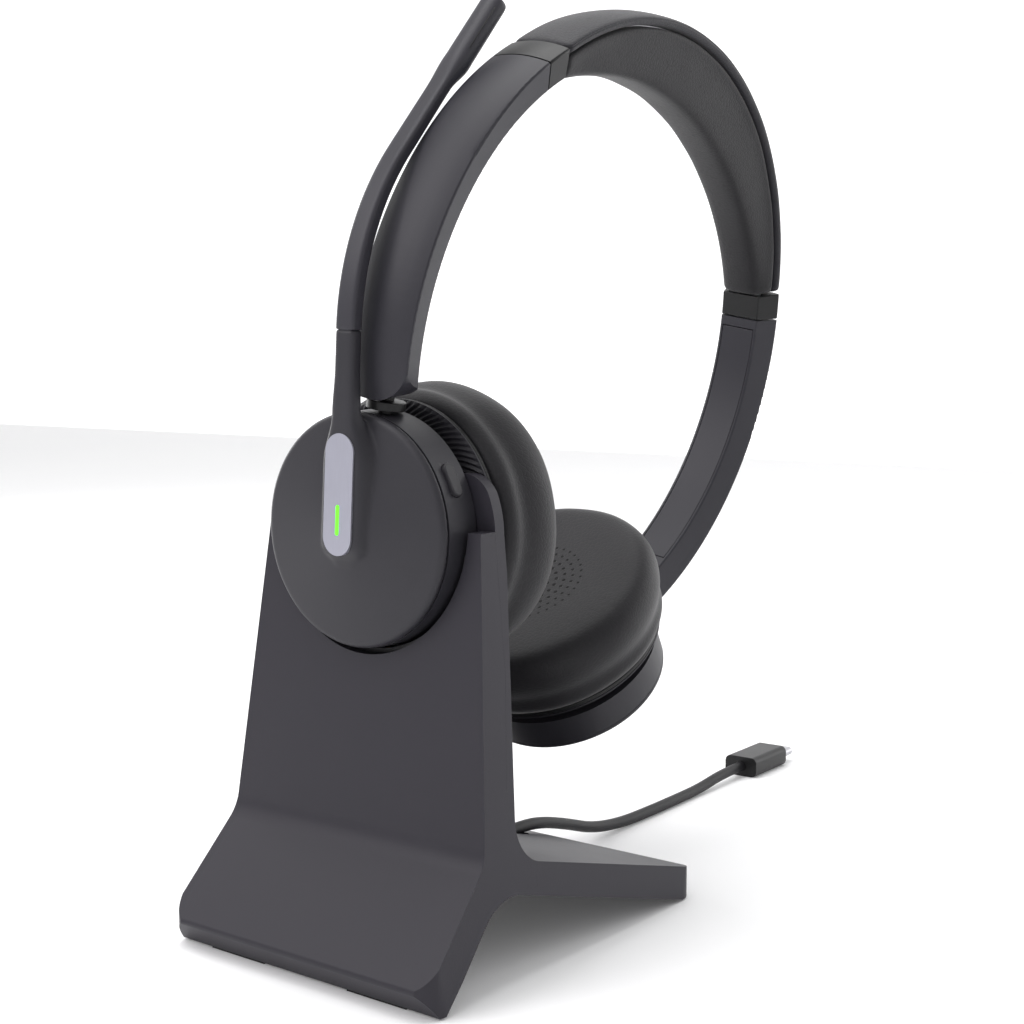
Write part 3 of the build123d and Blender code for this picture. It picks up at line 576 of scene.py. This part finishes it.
# ---------------------------------------------------------------- cushions
cushion_radius, cushion_low, cushion_high = cup_reach("left_cushion", left_cup)
cushion_outline = [
    (17.0, cushion_low + 0.3), (26.6, cushion_low + 0.3), (28.2, cushion_low + 0.8), (29.2, cushion_low + 2.0),
    (29.6, cushion_low + 3.6), (29.25, cushion_low + 5.2), (29.5, cushion_low + 6.9), (30.5, cushion_low + 9.2),
    (cushion_radius + 0.4, cushion_low + 12.2), (30.6, cushion_low + 15.3), (29.3, cushion_low + 17.5),
    (27.3, cushion_high + 0.1), (24.8, cushion_high + 0.35), (20.5, cushion_high + 0.2), (16.0, cushion_high - 0.15),
    (12.0, cushion_high - 0.5), (6.0, cushion_high - 0.8), (0.0, cushion_high - 0.85),
]


def pillow(seed):
    """Slow unevenness of a stuffed ring, strongest on its sides."""
    def wobble(angle, index, radius, depth):
        if index < 3 or radius < 12:
            return 0, 0
        spot = (radius * cos(angle) * mm, radius * sin(angle) * mm, depth * mm)
        return 0.35 * drift(spot, 16, seed), 0.25 * drift(spot, 13, seed + 7)
    return wobble


for side, cup in cups.items():
    cushion = lathe(f"{side}_ear_cushion", cup, cushion_outline, steps=96,
                    wobble=pillow(3 if side == "left" else 8))
    add_modifier(cushion, "SUBSURF", "round", levels=2, render_levels=2)
    ready(cushion, "face", f"{side}_cup")
    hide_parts(f"{side}_cushion", f"{side}_scrim")

    # The ring behind the rim is knurled: rows of small pyramids
    ring_out, ring_low, ring_high = cup_reach(f"{side}_mesh_ring", cup)
    ring_in = cup_reach(f"{side}_baffle", cup)[0] - 7.8
    rows, steps = 10, 188
    made = bmesh.new()
    grid = []
    for step in range(steps):
        angle = tau * step / steps
        line = []
        for row in range(rows + 1):
            reach = (ring_in + (ring_out - ring_in) * row / rows) * mm
            raised = 0.42 if (row + step) % 2 and 0 < row < rows else 0.0
            line.append(made.verts.new((reach * cos(angle), reach * sin(angle), (ring_low - raised) * mm)))
        line.append(made.verts.new((ring_out * mm * cos(angle), ring_out * mm * sin(angle), ring_high * mm)))
        line.append(made.verts.new((ring_in * mm * cos(angle), ring_in * mm * sin(angle), ring_high * mm)))
        grid.append(line)
    for step in range(steps):
        here, after = grid[step], grid[(step + 1) % steps]
        count = len(here)
        for i in range(count):
            j = (i + 1) % count
            made.faces.new((here[i], here[j], after[j], after[i]))
    knurl = piece_from(f"{side}_knurled_ring", made, cup, smooth=False)
    ready(knurl, "mesh", f"{side}_cup")
    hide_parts(f"{side}_mesh_ring")

# ---------------------------------------------------------------- padded band
zero = (Vector(joints["left_swivel"]["pos_m"]) - arc_centre).normalized()
quarter = arc_normal.cross(zero)


def band_span(node):
    """A node's extent round the headband's circle: lowest and highest angle, radius, and half width."""
    angles, radii, halves = [], [], []
    for vertex in nodes[node].data.vertices:
        offset = vertex.co - arc_centre
        angles.append(atan2(offset.dot(quarter), offset.dot(zero)) % tau)
        radii.append(Vector((offset.dot(quarter), offset.dot(zero))).length / mm)
        halves.append(abs(offset.dot(arc_normal)) / mm)
    return min(angles), max(angles), min(radii), max(radii), max(halves)


def band_point(angle, radius, across):
    return arc_centre + (zero * cos(angle) + quarter * sin(angle)) * radius * mm + arc_normal * across * mm


def bow(ends, centre):
    """Radius by share along the band, for a circle through the two ends and the middle."""
    half_span = (end - start) / 2
    shift = (ends ** 2 - centre ** 2) / (2 * (ends * cos(half_span) - centre))
    round_radius = centre - shift

    def at(share):
        turn = (2 * share - 1) * half_span
        return shift * cos(turn) + sqrt(round_radius ** 2 - (shift * sin(turn)) ** 2)
    return at


def along_band(name, outline, start, end, count, seed, end_pinch=0.35):
    """A soft form swept round the headband, with drawn-in ends.

    Each outline point is (level, height, across): the height is measured from that level's radius there.
    """
    rings = []
    for step in range(count + 1):
        share = step / count
        angle = start + (end - start) * share
        near_end = min(share, 1 - share) * (end - start) * 75
        pinch = end_pinch * max(0.0, 1 - near_end / 1.4) ** 2
        places = [(level(share) + height, across) for level, height, across in outline]
        mean_radius = sum(radius for radius, across in places) / len(places)
        ring = []
        for radius, across in places:
            spot = band_point(angle, radius, across)
            swell = 0.14 * drift(spot, 11, seed) - pinch
            direction = Vector((radius - mean_radius, across)).normalized()
            ring.append(band_point(angle, radius + direction.x * swell, across + direction.y * swell))
        rings.append(ring)
    piece = loft(name, rings)
    add_modifier(piece, "SUBSURF", "round", levels=1, render_levels=2)
    return piece


start, end, cover_low, cover_high, cover_half = band_span("band_cover")
pad_low = band_span("band_pad")[2]
arm_high = band_span("left_end_cap")[3]
arm_low = band_span("left_end_cap")[2]
crest = bow(arm_high, cover_high)                      # the cover's crown
joint = bow(arm_high - 3.1, cover_high - 3.1)          # where cover and pad meet
inner = bow(arm_low - 0.8, pad_low)                    # the pad's inner face
inset = radians(0.12)
wrap_outline = [
    (joint, 0, -7.3), (joint, 0.9, -7.75), (crest, -1.65, -cover_half + 0.15), (crest, -1.48, -cover_half + 0.4),
    (crest, -1.3, -cover_half + 0.15), (crest, -0.75, -cover_half + 0.75), (crest, -0.25, -4.6),
    (crest, 0.1, -1.6), (crest, 0.1, 1.6), (crest, -0.25, 4.6), (crest, -0.75, cover_half - 0.75),
    (crest, -1.3, cover_half - 0.15), (crest, -1.48, cover_half - 0.4), (crest, -1.65, cover_half - 0.15),
    (joint, 0.9, 7.75), (joint, 0, 7.3), (joint, 0.2, 3), (joint, 0.2, -3),
]
band_wrap = along_band("band_wrap", wrap_outline, start + inset, end - inset, 90, 4)
ready(band_wrap, "band", "headband")
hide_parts("band_cover")

cushion_outline_band = [
    (joint, -0.05, -7.25), (joint, -1.6, -7.0), (joint, -3.2, -6.5), (inner, 1.6, -5.7),
    (inner, 0.55, -4.9), (inner, 0.05, -3.2), (inner, -0.1, 0), (inner, 0.05, 3.2),
    (inner, 0.55, 4.9), (inner, 1.6, 5.7), (joint, -3.2, 6.5), (joint, -1.6, 7.0),
    (joint, -0.05, 7.25), (joint, -0.25, 3), (joint, -0.25, -3),
]
head_pad = along_band("head_pad", cushion_outline_band, start + inset, end - inset, 90, 9)
ready(head_pad, "pad", "headband")
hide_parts("band_pad")

# ---------------------------------------------------------------- floor, light and camera
def swept_sheet(name, profile):
    """A wide sheet from (distance back, height) points in metres."""
    made = bmesh.new()
    rows = [[made.verts.new((x, back, height)) for x in (-4.0, 4.0)] for back, height in profile]
    for lower, upper in zip(rows, rows[1:]):
        made.faces.new((lower[0], lower[1], upper[1], upper[0]))
    return piece_from(name, made)


def paper(name, glow):
    """Pale studio paper, lit a little from behind where it is the backdrop."""
    look = Look(name)
    tone = look.mix(look.grain(300, 3), (0.93, 0.93, 0.935, 1), (0.96, 0.96, 0.965, 1))
    return look.finish(Base_Color=tone, Roughness=0.7, Specular_IOR_Level=0.2, Emission_Color=tone,
                       Emission_Strength=glow)


floor = swept_sheet("floor", [(-2.2, -0.02 * mm), (1.4, -0.02 * mm)])
floor.data.materials.append(paper("pale_floor", 0.05))
backdrop = swept_sheet("backdrop", [(1.4, -0.02 * mm), (1.9, 0.06), (2.2, 0.3), (2.3, 0.8), (2.3, 3.2)])
backdrop.data.materials.append(paper("pale_backdrop", 0.6))

camera_place = Vector((237.1, -253.2, 130.2)) * mm + Vector((0, dock.y, 0))
camera_target = Vector((42.3, 0, 98.5)) * mm + Vector((0, dock.y, 0))
camera_data = bpy.data.cameras.new("camera")
camera_data.lens = 58.16
camera_data.sensor_width = 36
camera_data.clip_start = 0.01
camera = bpy.data.objects.new("camera", camera_data)
camera.location = camera_place
camera.rotation_euler = (camera_target - camera_place).to_track_quat("-Z", "Y").to_euler()
bpy.context.scene.collection.objects.link(camera)
bpy.context.scene.camera = camera

view_back = (camera_place - camera_target).normalized()
view_right = Vector((-view_back.y, view_back.x, 0)).normalized()


def softbox(name, toward, distance, size, power, tint=(1, 1, 1)):
    """A square light that faces the object from a direction in the view: right, up, towards the camera."""
    data = bpy.data.lights.new(name, "AREA")
    data.shape = "RECTANGLE"
    data.size, data.size_y = size
    data.energy = power
    data.color = tint
    aim = Vector((0, 0, 0.1))
    place = aim + (view_right * toward[0] + Vector((0, 0, 1)) * toward[1] + view_back * toward[2]).normalized() * distance
    light = bpy.data.objects.new(name, data)
    light.location = place
    light.rotation_euler = (aim - place).to_track_quat("-Z", "Y").to_euler()
    bpy.context.scene.collection.objects.link(light)


softbox("key", (-0.9, 0.75, 0.35), 1.1, (0.6, 0.8), 5.5, (1.0, 0.98, 1.0))
softbox("top", (-0.1, 1.0, -0.1), 1.1, (0.9, 0.6), 6)
softbox("back_left", (-0.9, 0.35, -0.8), 1.0, (0.4, 0.9), 4)
softbox("right_strip", (1.0, 0.3, -0.5), 1.0, (0.25, 0.9), 1.5)

world = bpy.data.worlds.new("studio")
world.use_nodes = True
sky = world.node_tree.nodes["Background"]
sky.inputs["Color"].default_value = (1.0, 1.0, 1.0, 1)
sky.inputs["Strength"].default_value = 0.62
bpy.context.scene.world = world
bpy.context.scene.view_settings.view_transform = "Standard"
